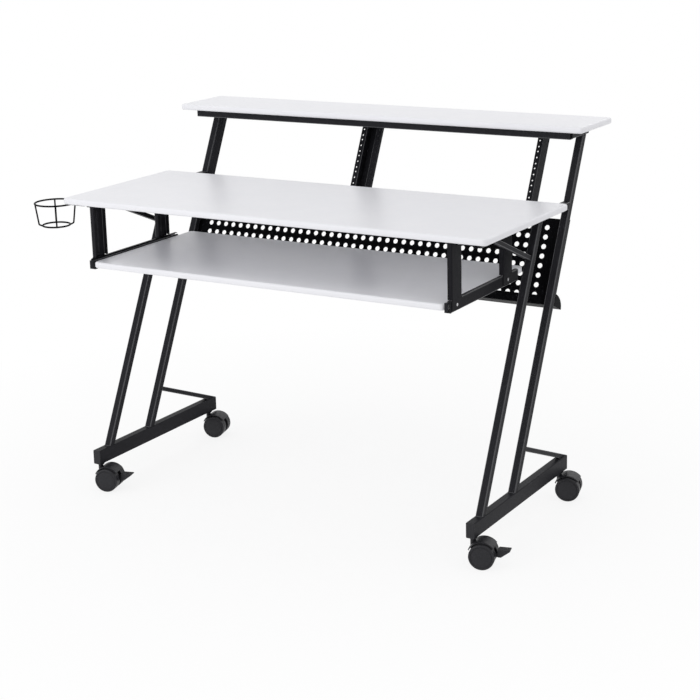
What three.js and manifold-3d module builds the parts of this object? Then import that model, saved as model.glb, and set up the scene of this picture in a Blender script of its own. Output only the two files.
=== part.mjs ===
// A studio desk on casters: two leaning side frames of square steel tube carry a desktop, a raised
// shelf with two equipment bays under it, a perforated back panel and a keyboard tray on slides.
// Millimetres, +Z up, X along the desk's width, Y from its front to its back.
// Pieces are laid out from the middle of the desktop's front edge at floor level, and the finished
// desk is then moved so that the origin lies at the bottom centre of its bounding box.

import * as THREE from "three";
import { mergeVertices } from "three/addons/utils/BufferGeometryUtils.js";
import Module from "manifold-3d";

const wasm = await Module();
wasm.setup();

// Clearances that all pieces share
const seatGap = 0.3; // between faces that touch on the real desk
const cutOverrun = 2; // how far a cutting shape runs past the piece that it cuts
const weldOverlap = 0.8; // how far welded wires and plates run into each other
const roundSides = 10; // the number of flats on small round pieces

// Boards
const deskWidth = 1200;
const deskHeight = 955;
const boardThickness = 16;
const deskCornerRadius = 12; // of the desktop and the tray
const shelfCornerRadius = 5;
const boardEdgeRound = 2;
const desktopDepth = 447;
const shelfRise = 173; // from the desktop's top to the shelf's
const shelfDepth = 190;
const shelfSetback = 522; // from the desktop's front edge to the shelf's front edge
const trayDepth = 417;
const trayDrop = 154; // from the desktop's top to the tray's
const trayOverhang = 12; // the tray's front edge ahead of the desktop's
const traySideRoom = 50; // from the tray's side edge to the middle of the side frame

// Side frames
const frameInset = 50; // from the desktop's side edge to the middle of the side frame
const legTube = 19;
const legWall = 1.5;
const tubeCornerRadius = 2;
const frontLegFoot = 67; // where the front leg's axis meets the base, behind the desktop's edge
const legSpacing = 174; // from the front leg to the rear leg along the base
const rearLegInset = 67.6; // from the rear leg's axis at the shelf arm's top to the shelf's rear edge
const baseWidth = 22;
const baseHeight = 38;
const baseWall = 1.5;
const baseLength = 528;
const baseFront = 11; // the base's front end behind the desktop's front edge
const baseUnderside = 70; // above the floor
const capThickness = 2;
const capPlugDepth = 5;
const strutTube = 12; // of the rear brace and the strut under the desktop
const strutWall = 1.2;
const braceRise = 92; // where the brace meets the rear leg, above the base
const braceFootInset = 17; // from the base's rear end
const deskArmSetback = 60; // the desktop arm's front end behind the desktop's front edge
const deskStrutInset = 84; // from the arm's front end to the strut under it
const deskStrutDrop = 78; // from the arm's underside to where the strut meets the front leg
const shelfBarSetback = 20; // the shelf bar's front face behind the shelf's front edge
const shelfArmInset = 52; // the shelf arm's rear end ahead of the shelf's rear edge

// Back panel and the cable tray along its lower edge
const bayHeight = 239; // from the panel's top edge to the shelf arm's top, along the legs
const panelHeight = 219;
const sheetThickness = 1.2;
const pegPitch = 24.5;
const pegDiameter = 13;
const pegSideMargin = 55;
const pegLowMargin = 23;
const pegTopMargin = 24;
const troughDepth = 45;
const troughSeam = 23; // the height of the strip that lies on the panel
const troughLip = 6;
const troughEar = 30;

// Rails of the two equipment bays
const bayInset = 84.2; // from the right bay's outer rail to the right leg
const rackWideStep = 15.875;
const rackNarrowStep = 12.7;
const rackHoles = 12;
const rackHoleDiameter = 6;
const railFlange = 16;
const railDepth = 35;
const railThickness = 1.5;
const railHoleInset = 6.5; // from the flange's free edge
const railTopMargin = 26; // from the topmost hole to the flange's top end
const railChamfer = 10;
const railFootHeight = 24; // how far the foot laps over the panel
const railTabLength = 20;
const dividerGap = 28; // between the webs of the two middle rails

// Tray slides and their hangers
const slideSpace = 12; // between the tray's edge and the slide's outer face
const slideHeight = 28;
const slideLength = 355;
const slideWall = 1.2;
const outerFlange = 8.8;
const innerHeight = 21.6;
const innerFlange = 8.7;
const slideHeadroom = 2.5; // between the front tab and the fixed runner
const rollerWidth = 7.5;
const rearRollerDiameter = 24;
const frontRollerDiameter = 18;
const rollerInset = 14; // a roller's axis from the end of its member
const rollerPin = 6;
const rollerPlay = 0.8; // the bore's diameter over the pin's
const rollerRelief = 3; // between a roller and the flange cut back for it
const hangerThickness = 1.5;
const hangerWidth = 48;
const hangerFlange = 12;
const hangerFrontSetback = 3; // behind the desktop's front edge
const rearHangerInset = 34.9; // from the rear hanger to the fixed runner's rear end
const hangerFlangeClearance = 10; // above the slide
const hangerFoot = 20;
const hangerFootChamfer = 13;
const hangerCornerRadius = 6;

// Cup holder
const cupReach = 45; // the ring's centre beyond the desktop's side edge
const cupSetback = 25; // behind the desktop's front edge
const cupRingRadius = 52;
const cupFootRadius = 35;
const cupDepth = 58;
const cupWire = 4.5;
const cupWires = 4;
const cupWireTurn = THREE.MathUtils.degToRad(41.8); // the first wire, from the desk's right
const cupStripWidth = 30;
const cupStripLength = 62;
const cupStripThickness = 2;

// Casters
const casterFrontInset = 15;
const casterRearInset = 25;
const casterTrail = 24.6;
const casterSwivel = THREE.MathUtils.degToRad(14.8); // how the casters stand turned at rest
const wheelDiameter = 62;
const wheelWidth = 24;
const wheelGap = 14; // between the two wheels of a caster
const wheelSides = 14;
const wheelCrown = 4;
const wheelBoreDepth = 18;
const axleDiameter = 6;
const axlePlay = 0.8;
const axleRecess = 1;
const hoodClearance = 2.2;
const hoodThickness = 2.6;
const hoodWidth = 30;
const hoodFrom = THREE.MathUtils.degToRad(40);
const hoodTo = THREE.MathUtils.degToRad(152);
const webThickness = 6;
const hubRadius = 9;
const bossDiameter = 13;
const bossHeight = 26;
const stemDiameter = 9;
const stemLength = 27;
const socketFlangeDiameter = 20;
const socketFlange = 2.5;
const socketBarrelDiameter = 14;
const socketBarrelHeight = 24;
const socketPlay = 0.9;

// Brake levers on the front casters
const leverCheek = 2.4;
const leverHubRadius = 7.5;
const leverArmHeight = 9;
const pedalStart = 35;
const pedalReach = 64.4;
const pedalWidth = 22;
const pedalTop = 15.5;
const pedalTipThickness = 2.5;
const pedalFootDrop = 3;
const pedalFootLength = 8;

// Places worked out from the dimensions above
const desktopTopHeight = deskHeight - shelfRise;
const trayTopHeight = desktopTopHeight - trayDrop;
const boardUnderside = desktopTopHeight - boardThickness;
const shelfUnderside = deskHeight - boardThickness;
const baseTop = baseUnderside + baseHeight;
const rearLegFoot = frontLegFoot + legSpacing;
const deskArmTop = boardUnderside - seatGap;
const shelfArmTop = shelfUnderside - seatGap;
const shelfBarFront = shelfSetback + shelfBarSetback;
const wheelRadius = wheelDiameter / 2;
const frameHalfSpacing = deskWidth / 2 - frameInset;
const trayWidth = 2 * (frameHalfSpacing - traySideRoom);
const legRun = shelfSetback + shelfDepth - rearLegInset - rearLegFoot;
const legRise = shelfArmTop - baseTop;
const legLean = Math.atan2(legRun, legRise); // back from upright
const legHalfRun = legTube / 2 / Math.cos(legLean); // half the tube's length in a level cut

// The run of a leg's axis at a height above the floor, given where its foot stands on the base
function legAxisAt(foot, height) {
  return foot + (height - baseTop) * Math.tan(legLean);
}

// Materials
const paintedBoard = { color: 0xf1f1f2, roughness: 0.35, metalness: 0 };
const blackSteel = { color: 0x1d1d20, roughness: 0.55, metalness: 0.4 };
const blackPlastic = { color: 0x17171a, roughness: 0.5, metalness: 0 };
const whiteNylon = { color: 0xe6e6e2, roughness: 0.45, metalness: 0 };

function piece(name, geometry, finish) {
  const mesh = new THREE.Mesh(geometry, new THREE.MeshStandardMaterial(finish));
  mesh.name = name;
  return mesh;
}

// A closed geometry as a solid that can be joined and cut
function solidOf(geometry) {
  const bare = geometry.clone();
  bare.deleteAttribute("normal");
  bare.deleteAttribute("uv");
  const merged = mergeVertices(bare, 1e-4);
  const vertProperties = merged.attributes.position.array;
  const triVerts = new Uint32Array(merged.index.array);
  return new wasm.Manifold(new wasm.Mesh({ numProp: 3, vertProperties, triVerts }));
}

function geometryOf(solid) {
  const mesh = solid.getMesh();
  const geometry = new THREE.BufferGeometry();
  geometry.setAttribute("position", new THREE.BufferAttribute(mesh.vertProperties, 3));
  geometry.setIndex(new THREE.BufferAttribute(mesh.triVerts, 1));
  geometry.computeVertexNormals();
  return geometry;
}

function join(...geometries) {
  return geometryOf(geometries.map(solidOf).reduce((whole, part) => whole.add(part)));
}

function cut(geometry, tools) {
  return geometryOf(tools.map(solidOf).reduce((whole, tool) => whole.subtract(tool), solidOf(geometry)));
}

function block(low, high) {
  const size = high.map((value, axis) => value - low[axis]);
  const middle = high.map((value, axis) => (value + low[axis]) / 2);
  return new THREE.BoxGeometry(...size).translate(...middle);
}

// Outlines drawn in a section plane
function outline(points) {
  return new THREE.Shape(points.map(([across, up]) => new THREE.Vector2(across, up)));
}

function roundedRectangle(low, high, radius) {
  const [left, bottom] = low;
  const [right, top] = high;
  const shape = new THREE.Shape();
  shape.absarc(right - radius, top - radius, radius, 0, Math.PI / 2);
  shape.absarc(left + radius, top - radius, radius, Math.PI / 2, Math.PI);
  shape.absarc(left + radius, bottom + radius, radius, Math.PI, Math.PI * 1.5);
  shape.absarc(right - radius, bottom + radius, radius, Math.PI * 1.5, Math.PI * 2);
  return shape;
}

function tubeSection(width, height, wall) {
  const half = [width / 2, height / 2];
  const shape = roundedRectangle([-half[0], -half[1]], half, tubeCornerRadius);
  const hollow = [half[0] - wall, half[1] - wall];
  shape.holes.push(
    outline([
      [-hollow[0], -hollow[1]],
      [hollow[0], -hollow[1]],
      [hollow[0], hollow[1]],
      [-hollow[0], hollow[1]],
    ]),
  );
  return shape;
}

// Extrusions along the desk's axes: the section is drawn in the other two
const sectionFrames = {
  x: [new THREE.Vector3(0, 1, 0), new THREE.Vector3(0, 0, 1), new THREE.Vector3(1, 0, 0)],
  y: [new THREE.Vector3(1, 0, 0), new THREE.Vector3(0, 0, 1), new THREE.Vector3(0, -1, 0)],
  z: [new THREE.Vector3(1, 0, 0), new THREE.Vector3(0, 1, 0), new THREE.Vector3(0, 0, 1)],
};

function extrude(axis, shape, from, to, curveSegments = 1) {
  const geometry = new THREE.ExtrudeGeometry(shape, {
    depth: to - from,
    bevelEnabled: false,
    curveSegments,
  });
  geometry.applyMatrix4(new THREE.Matrix4().makeBasis(...sectionFrames[axis]));
  const start = axis === "y" ? to : from;
  return geometry.translate(axis === "x" ? start : 0, axis === "y" ? start : 0, axis === "z" ? start : 0);
}

function rod(axis, diameter, from, to, sides = roundSides) {
  const geometry = new THREE.CylinderGeometry(diameter / 2, diameter / 2, to - from, sides);
  if (axis === "x") geometry.rotateZ(Math.PI / 2);
  if (axis === "z") geometry.rotateX(Math.PI / 2);
  const middle = (from + to) / 2;
  return geometry.translate(axis === "x" ? middle : 0, axis === "y" ? middle : 0, axis === "z" ? middle : 0);
}

// A board with rounded corners and softened edges, its front edge at a place along Y
function board(width, depth, front, top, cornerRadius) {
  const half = width / 2 - boardEdgeRound;
  const shape = roundedRectangle(
    [-half, front + boardEdgeRound],
    [half, front + depth - boardEdgeRound],
    cornerRadius - boardEdgeRound,
  );
  const geometry = new THREE.ExtrudeGeometry(shape, {
    depth: boardThickness - 2 * boardEdgeRound,
    bevelThickness: boardEdgeRound,
    bevelSize: boardEdgeRound,
    bevelSegments: 1,
    curveSegments: 2,
  });
  return geometry.translate(0, 0, top - boardThickness + boardEdgeRound);
}

// A square tube that leans back with the legs, cut level at both ends
function leaningTube(foot, bottom, top) {
  const stretch = 1 / Math.cos(legLean);
  const geometry = extrude("z", tubeSection(legTube, legTube, legWall), 0, top - bottom);
  geometry.scale(1, stretch, 1);
  geometry.applyMatrix4(new THREE.Matrix4().makeShear(0, 0, 0, 0, 0, Math.tan(legLean)));
  return geometry.translate(0, legAxisAt(foot, bottom), bottom);
}

// A tube between two slanting or level cuts: its side view is an outline, its inside runs through
function cutTube(width, wall, outside, inside) {
  return cut(extrude("x", outline(outside), -width / 2, width / 2), [
    extrude("x", outline(inside), wall - width / 2, width / 2 - wall),
  ]);
}

// Side frame pieces, built in the frame's own middle plane
function baseTube() {
  const tube = extrude("y", tubeSection(baseWidth, baseHeight, baseWall), baseFront + capThickness + seatGap,
    baseFront + baseLength - capThickness - seatGap);
  tube.translate(0, 0, baseUnderside + baseHeight / 2);
  const holeDiameter = (socketBarrelDiameter + 2 * seatGap) / Math.cos(Math.PI / roundSides);
  const holes = casterPlaces().map((place) =>
    rod("z", holeDiameter, baseUnderside - cutOverrun, baseUnderside + baseWall + cutOverrun)
      .translate(0, place, 0),
  );
  return cut(tube, holes);
}

function casterPlaces() {
  return [baseFront + casterFrontInset, baseFront + baseLength - casterRearInset];
}

// The plastic plug in an end of the base tube, drawn for the front end and turned for the rear one
function endCap() {
  const plate = extrude("y", roundedRectangle([-baseWidth / 2, -baseHeight / 2],
    [baseWidth / 2, baseHeight / 2], tubeCornerRadius), 0, capThickness);
  const inside = [baseWidth / 2 - baseWall - seatGap, baseHeight / 2 - baseWall - seatGap];
  const plug = block([-inside[0], capThickness / 2, -inside[1]],
    [inside[0], capThickness + capPlugDepth, inside[1]]);
  return join(plate, plug);
}

// A small tube in the side frame's plane between a level face and a leg's face, cut to both
function strut(levelEnd, legEnd) {
  const fall = (legEnd[1] - levelEnd[1]) / (levelEnd[0] - legEnd[0]);
  const way = Math.sign(levelEnd[1] - legEnd[1]);
  const legSlope = Math.tan(legLean);
  // An edge parallel to the middle line and so far above it, run past both faces
  const edge = (above, past) => {
    const lift = above * Math.hypot(1, fall);
    const rise = (lift - way * fall * past) / (1 + fall * legSlope);
    return [
      [legEnd[0] + legSlope * rise + way * past, legEnd[1] + rise],
      [levelEnd[0] + (lift - way * past) / fall, levelEnd[1] + way * past],
    ];
  };
  const half = strutTube / 2;
  const inside = half - strutWall;
  return cutTube(strutTube, strutWall, [...edge(-half, 0), ...edge(half, 0).reverse()],
    [...edge(-inside, cutOverrun), ...edge(inside, cutOverrun).reverse()]);
}

// The diagonal brace from the rear leg's back down to the base
function brace() {
  const height = baseTop + braceRise;
  const backOfLeg = legAxisAt(rearLegFoot, height) + legHalfRun + seatGap;
  return strut([baseFront + baseLength - braceFootInset, baseTop + seatGap], [backOfLeg, height]);
}

// The strut from the desktop arm's underside back to the front leg
function deskStrut() {
  const armFoot = deskArmTop - legTube - seatGap;
  const height = armFoot - deskStrutDrop;
  const frontOfLeg = legAxisAt(frontLegFoot, height) - legHalfRun - seatGap;
  return strut([deskArmSetback + deskStrutInset, armFoot], [frontOfLeg, height]);
}

// The level arm under the desktop, from near its front edge to the rear leg
function deskArm() {
  const end = (height) => legAxisAt(rearLegFoot, height) - legHalfRun - seatGap;
  const side = (drop, past) => {
    const top = deskArmTop - drop;
    const bottom = deskArmTop - legTube + drop;
    return [
      [deskArmSetback - past, bottom],
      [end(bottom) + past, bottom],
      [end(top) + past, top],
      [deskArmSetback - past, top],
    ];
  };
  return cutTube(legTube, legWall, side(0, 0), side(legWall, cutOverrun));
}

function shelfArm() {
  const tube = extrude("y", tubeSection(legTube, legTube, legWall), shelfBarFront + legTube + seatGap,
    shelfSetback + shelfDepth - shelfArmInset);
  return tube.translate(0, 0, shelfArmTop - legTube / 2);
}

function sideFrame(side, sign) {
  const frame = new THREE.Group();
  frame.position.x = sign * frameHalfSpacing;
  frame.add(piece(`${side}_base_tube`, baseTube(), blackSteel));
  for (const [place, at, turn] of [["front", baseFront, 0], ["rear", baseFront + baseLength, Math.PI]]) {
    const cap = piece(`${side}_${place}_end_cap`, endCap(), blackPlastic);
    cap.position.set(0, at, baseUnderside + baseHeight / 2);
    cap.rotation.z = turn;
    frame.add(cap);
  }
  const footHeight = baseTop + seatGap;
  const frontLeg = leaningTube(frontLegFoot, footHeight, deskArmTop - legTube - seatGap);
  const rearLeg = leaningTube(rearLegFoot, footHeight, shelfArmTop - legTube - seatGap);
  frame.add(piece(`${side}_front_leg`, frontLeg, blackSteel));
  frame.add(piece(`${side}_rear_leg`, rearLeg, blackSteel));
  frame.add(piece(`${side}_brace`, brace(), blackSteel));
  frame.add(piece(`${side}_desktop_strut`, deskStrut(), blackSteel));
  frame.add(piece(`${side}_desktop_arm`, deskArm(), blackSteel));
  frame.add(piece(`${side}_shelf_arm`, shelfArm(), blackSteel));
  return frame;
}

function shelfBar() {
  const half = frameHalfSpacing + legTube / 2;
  const tube = extrude("x", tubeSection(legTube, legTube, legWall), -half, half);
  return tube.translate(0, shelfBarFront + legTube / 2, shelfArmTop - legTube / 2);
}

// Pieces that lie in the plane of the leaning rear legs: X across, Y square to the legs, Z up them
const panelHalfWidth = frameHalfSpacing + legTube / 2;
const panelFront = legTube / 2 + seatGap;
const panelBack = panelFront + sheetThickness;
const panelTop = legRise / Math.cos(legLean) - bayHeight;
const panelReach = panelTop - panelHeight; // its lower edge, up the slope from the base

// The panel's round holes are drawn square, each with the area of the round one
function backPanel() {
  const sheet = block([-panelHalfWidth, panelFront, panelReach], [panelHalfWidth, panelBack, panelTop]);
  const columns = Math.floor((2 * (panelHalfWidth - pegSideMargin)) / pegPitch) + 1;
  const rows = Math.floor((panelHeight - pegLowMargin - pegTopMargin) / pegPitch) + 1;
  const side = (pegDiameter * Math.sqrt(Math.PI)) / 2;
  const squareHole = block([-side / 2, panelFront - cutOverrun, -side / 2],
    [side / 2, panelBack + cutOverrun, side / 2]);
  const holes = [];
  for (let column = 0; column < columns; column += 1)
    for (let row = 0; row < rows; row += 1)
      holes.push(
        squareHole.clone().translate(
          (column - (columns - 1) / 2) * pegPitch, 0, panelReach + pegLowMargin + row * pegPitch),
      );
  return geometryOf(solidOf(sheet).subtract(wasm.Manifold.union(holes.map(solidOf))));
}

// A folded strip behind the panel's lower edge: a floor with a lip, and a rounded ear at each end
function cableTray() {
  const front = panelBack + seatGap;
  const back = front + troughDepth;
  const floorTop = panelReach + sheetThickness;
  const profile = outline([
    [front, panelReach],
    [back, panelReach],
    [back, panelReach + troughLip],
    [back - sheetThickness, panelReach + troughLip],
    [back - sheetThickness, floorTop],
    [front + sheetThickness, floorTop],
    [front + sheetThickness, panelReach + troughSeam],
    [front, panelReach + troughSeam],
  ]);
  const ear = new THREE.Shape();
  ear.moveTo(front, panelReach);
  ear.lineTo(back, panelReach);
  ear.absellipse(front, panelReach, troughDepth, troughEar, 0, Math.PI / 2);
  const ears = [-panelHalfWidth, panelHalfWidth - sheetThickness].map((from) =>
    extrude("x", ear, from, from + sheetThickness, 6));
  return join(extrude("x", profile, -panelHalfWidth, panelHalfWidth), ...ears);
}

// A rail: a holed flange that faces the user, a web behind it, a tab under the shelf and a foot on
// the panel. The flange points from the fold towards the bay, the way that inward says. A middle
// rail also has a flange that points to its neighbour and closes the gap between the two.
function rackRail(fold, inward, returned) {
  const front = -legTube / 2;
  const back = front + railDepth;
  const rise = (height) => height - baseTop;
  const topAt = (depth) => (rise(shelfArmTop) + depth * Math.sin(legLean)) / Math.cos(legLean);
  const foot = panelTop - railFootHeight;
  const step = panelTop + seatGap;
  const footBack = panelFront - seatGap;
  const span = (from, to) => [Math.min(fold + inward * from, fold + inward * to),
    Math.max(fold + inward * from, fold + inward * to)];
  const web = outline([
    [front, foot],
    [footBack, foot],
    [footBack, step],
    [back, step],
    [back, topAt(back) - railTopMargin],
    [back - railChamfer, topAt(back - railChamfer) - railTopMargin + railChamfer],
    [back - railChamfer, topAt(back - railChamfer)],
    [front, topAt(front)],
  ]);
  const flange = outline([
    [front, foot],
    [front + railThickness, foot],
    [front + railThickness, topAt(front + railThickness)],
    [front, topAt(front)],
  ]);
  const tabStart = topAt(front);
  const tab = outline([
    [front, tabStart - railThickness],
    [back - railChamfer, topAt(back - railChamfer) - railThickness],
    [back - railChamfer, topAt(back - railChamfer)],
    [front, tabStart],
  ]);
  const footPad = outline([
    [footBack - railThickness, foot],
    [footBack, foot],
    [footBack, panelTop],
    [footBack - railThickness, panelTop],
  ]);
  const closerBack = back - railChamfer;
  const closerFront = closerBack - railThickness;
  const closer = outline([
    [closerFront, step],
    [closerBack, step],
    [closerBack, topAt(closerBack)],
    [closerFront, topAt(closerFront)],
  ]);
  const closerReach = returned ? (seatGap - dividerGap) / 2 : 0;
  const body = join(
    extrude("x", web, ...span(0, railThickness)),
    extrude("x", flange, ...span(0, railFlange)),
    extrude("x", tab, ...span(0, railTabLength)),
    extrude("x", footPad, ...span(0, railFlange)),
    extrude("x", closer, ...span(closerReach, railThickness)),
  );
  const holes = [];
  let height = topAt(front) - railTopMargin;
  for (let hole = 0; hole < rackHoles; hole += 1) {
    holes.push(
      rod("y", rackHoleDiameter, front - cutOverrun, front + railThickness + cutOverrun, 4).translate(
        fold + inward * (railFlange - railHoleInset), 0, height),
    );
    height -= hole % 3 === 2 ? rackNarrowStep : rackWideStep;
  }
  return cut(body, holes);
}

function rackAndPanel() {
  const slope = new THREE.Group();
  slope.position.set(0, rearLegFoot, baseTop);
  slope.rotation.x = -legLean;
  const reach = frameHalfSpacing - legTube / 2 - seatGap;
  const bayWidth = (2 * reach - bayInset - dividerGap) / 2;
  const leftFold = -reach;
  const dividerLeftFold = leftFold + bayWidth;
  const dividerRightFold = dividerLeftFold + dividerGap;
  const rightFold = dividerRightFold + bayWidth;
  slope.add(piece("left_bay_outer_rail", rackRail(leftFold, 1, false), blackSteel));
  slope.add(piece("left_bay_middle_rail", rackRail(dividerLeftFold, -1, true), blackSteel));
  slope.add(piece("right_bay_middle_rail", rackRail(dividerRightFold, 1, true), blackSteel));
  slope.add(piece("right_bay_outer_rail", rackRail(rightFold, -1, false), blackSteel));
  slope.add(piece("back_panel", backPanel(), blackSteel));
  slope.add(piece("cable_tray", cableTray(), blackSteel));
  return slope;
}

// Tray slides and hangers, built for the right side and mirrored for the left
const slideInner = trayWidth / 2 + seatGap;
const slideOuter = slideInner + slideSpace;
const slideMiddle = trayTopHeight - boardThickness / 2;
const slideFront = -trayOverhang + slideHeadroom + 2 * slideWall;
const outerFloor = slideMiddle - slideHeight / 2 + slideWall;
const innerTop = slideMiddle + innerHeight / 2;
const rearRollerPlace = slideFront + slideLength - rollerInset;
const rearRollerAxis = outerFloor + seatGap + rearRollerDiameter / 2;
const frontRollerPlace = slideFront + rollerInset;
const frontRollerAxis = innerTop - slideWall - seatGap - frontRollerDiameter / 2;
const rollerMiddle = (slideInner + slideOuter) / 2;
const rearHangerPlace = slideFront + slideLength - rearHangerInset - hangerWidth;

function channel(web, tip, height, wall) {
  const inward = Math.sign(tip - web);
  const low = slideMiddle - height / 2;
  const high = slideMiddle + height / 2;
  return outline([
    [web, low],
    [tip, low],
    [tip, low + wall],
    [web + inward * wall, low + wall],
    [web + inward * wall, high - wall],
    [tip, high - wall],
    [tip, high],
    [web, high],
  ]);
}

function fixedRunner() {
  const section = channel(slideOuter, slideOuter - outerFlange, slideHeight, slideWall);
  const profile = extrude("y", section, slideFront, slideFront + slideLength);
  const pin = rod("x", rollerPin, slideInner + slideWall + seatGap, slideOuter - slideWall / 2)
    .translate(0, frontRollerPlace, frontRollerAxis);
  return join(profile, pin);
}

function movingSlide() {
  const flangeEnd = rearRollerPlace - rearRollerDiameter / 2 - rollerRelief;
  const low = slideMiddle - innerHeight / 2;
  const front = -trayOverhang;
  const section = channel(slideInner, slideInner + innerFlange, innerHeight, slideWall);
  const profile = extrude("y", section, front, flangeEnd);
  const web = block([slideInner, front, low],
    [slideInner + slideWall, slideFront + slideLength, innerTop]);
  const tab = block([slideInner, front, low], [slideOuter - slideWall, front + slideWall, innerTop]);
  const pin = rod("x", rollerPin, slideInner + slideWall / 2, slideOuter - slideWall - seatGap)
    .translate(0, rearRollerPlace, rearRollerAxis);
  return join(profile, web, tab, pin);
}

function roller(diameter, place, height) {
  const half = rollerWidth / 2;
  const bore = (rollerPin + rollerPlay) / 2;
  const profile = [
    [bore, -half],
    [diameter / 2, -half],
    [diameter / 2, half],
    [bore, half],
    [bore, -half],
  ];
  const wheel = new THREE.LatheGeometry(profile.map(([radius, along]) => new THREE.Vector2(radius, along)), 12);
  return wheel.rotateZ(Math.PI / 2).translate(rollerMiddle, place, height);
}

// A hanger: a flat web on the runner, flanges along its front and rear edges, and a top flange
function hanger(front) {
  const face = slideOuter + seatGap;
  const back = face + hangerThickness;
  const rear = front + hangerWidth;
  const top = boardUnderside - seatGap;
  const flangeFoot = slideMiddle + slideHeight / 2 + hangerFlangeClearance;
  const web = extrude("x",
    roundedRectangle([front, slideMiddle - slideHeight / 2], [rear, top], hangerCornerRadius), face, back);
  const squareTop = block([face, front, flangeFoot], [back, rear, top]);
  const flanges = [front, rear - hangerThickness].map((from) =>
    block([back - hangerFlange, from, flangeFoot], [back, from + hangerThickness, top]));
  const footEnd = back + hangerFoot;
  const foot = extrude("z", outline([
    [face, front],
    [footEnd - hangerFootChamfer, front],
    [footEnd, front + hangerFootChamfer],
    [footEnd, rear - hangerFootChamfer],
    [footEnd - hangerFootChamfer, rear],
    [face, rear],
  ]), top - hangerThickness, top);
  return join(web, squareTop, ...flanges, foot);
}

function traySide(side, sign) {
  const group = new THREE.Group();
  group.scale.x = sign;
  group.add(piece(`${side}_front_hanger`, hanger(hangerFrontSetback), blackSteel));
  group.add(piece(`${side}_rear_hanger`, hanger(rearHangerPlace), blackSteel));
  group.add(piece(`${side}_fixed_runner`, fixedRunner(), blackSteel));
  group.add(piece(`${side}_moving_slide`, movingSlide(), blackSteel));
  group.add(piece(`${side}_front_roller`,
    roller(frontRollerDiameter, frontRollerPlace, frontRollerAxis), whiteNylon));
  group.add(piece(`${side}_rear_roller`,
    roller(rearRollerDiameter, rearRollerPlace, rearRollerAxis), whiteNylon));
  return group;
}

// The cup holder: two rings joined by wires that bend in under the cup, on a strip under the desktop
function cupHolder() {
  const stripTop = boardUnderside - seatGap;
  const stripFoot = stripTop - cupStripThickness;
  const ringHeight = stripFoot - cupWire / 2 + weldOverlap;
  const footHeight = ringHeight - cupDepth;
  const ring = (radius, height) =>
    new THREE.TorusGeometry(radius, cupWire / 2, 5, 16).translate(0, 0, height);
  const section = new THREE.Shape().absarc(0, 0, cupWire / 2, 0, Math.PI * 2);
  const wire = (turn) => {
    const bend = cupFootRadius + cupWire;
    const path = new THREE.CatmullRomCurve3([
      new THREE.Vector3(cupRingRadius, 0, ringHeight),
      new THREE.Vector3(cupRingRadius - cupWire, 0, ringHeight - cupDepth / 2),
      new THREE.Vector3(bend, 0, footHeight + cupWire),
      new THREE.Vector3(cupFootRadius, 0, footHeight),
    ]);
    const bar = new THREE.ExtrudeGeometry(section, { steps: 3, curveSegments: 3, extrudePath: path });
    return bar.rotateZ(turn);
  };
  const turns = Array.from({ length: cupWires }, (_, index) => cupWireTurn + (index * 2 * Math.PI) / cupWires);
  const strip = block([cupRingRadius - cupWire, -cupStripWidth / 2, stripFoot],
    [cupRingRadius - cupWire + cupStripLength, cupStripWidth / 2, stripTop]);
  const holder = join(ring(cupRingRadius, ringHeight), ring(cupFootRadius, footHeight),
    ...turns.map(wire), strip);
  return holder.translate(-deskWidth / 2 - cupReach, cupSetback, 0);
}

// Casters, built about the swivel's axis with the wheels' axle square to the way they trail
function casterSocket() {
  const bore = (stemDiameter + socketPlay) / 2;
  const flangeTop = baseUnderside - seatGap;
  const flangeFoot = flangeTop - socketFlange;
  const barrelTop = flangeTop + socketBarrelHeight;
  const profile = [
    [bore, flangeFoot],
    [socketFlangeDiameter / 2, flangeFoot],
    [socketFlangeDiameter / 2, flangeTop],
    [socketBarrelDiameter / 2, flangeTop],
    [socketBarrelDiameter / 2, barrelTop],
    [bore, barrelTop],
    [bore, flangeFoot],
  ];
  return new THREE.LatheGeometry(profile.map(([radius, up]) => new THREE.Vector2(radius, up)), roundSides)
    .rotateX(Math.PI / 2);
}

function casterHousing() {
  const hoodInside = wheelRadius + hoodClearance;
  const hoodOutside = hoodInside + hoodThickness;
  const bossTop = baseUnderside - 2 * seatGap - socketFlange;
  const webShape = new THREE.Shape();
  webShape.absarc(0, 0, hoodInside + hoodThickness / 2, hoodFrom, hoodTo);
  webShape.absarc(0, 0, hubRadius, Math.PI, Math.PI * 2);
  const hoodShape = new THREE.Shape();
  hoodShape.absarc(0, 0, hoodOutside, hoodFrom, hoodTo);
  hoodShape.absarc(0, 0, hoodInside, hoodTo, hoodFrom, true);
  const web = extrude("y", webShape, -webThickness / 2, webThickness / 2, 3);
  const hood = extrude("y", hoodShape, -hoodWidth / 2, hoodWidth / 2, 3);
  const axleEnd = wheelGap / 2 + wheelBoreDepth - axleRecess;
  const axle = rod("y", axleDiameter, -axleEnd, axleEnd);
  const onAxle = [web, hood, axle].map((shape) => shape.translate(casterTrail, 0, wheelRadius));
  const boss = rod("z", bossDiameter, bossTop - bossHeight, bossTop);
  const stem = rod("z", stemDiameter, bossTop - bossHeight / 2, bossTop + stemLength);
  return join(...onAxle, boss, stem);
}

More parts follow.
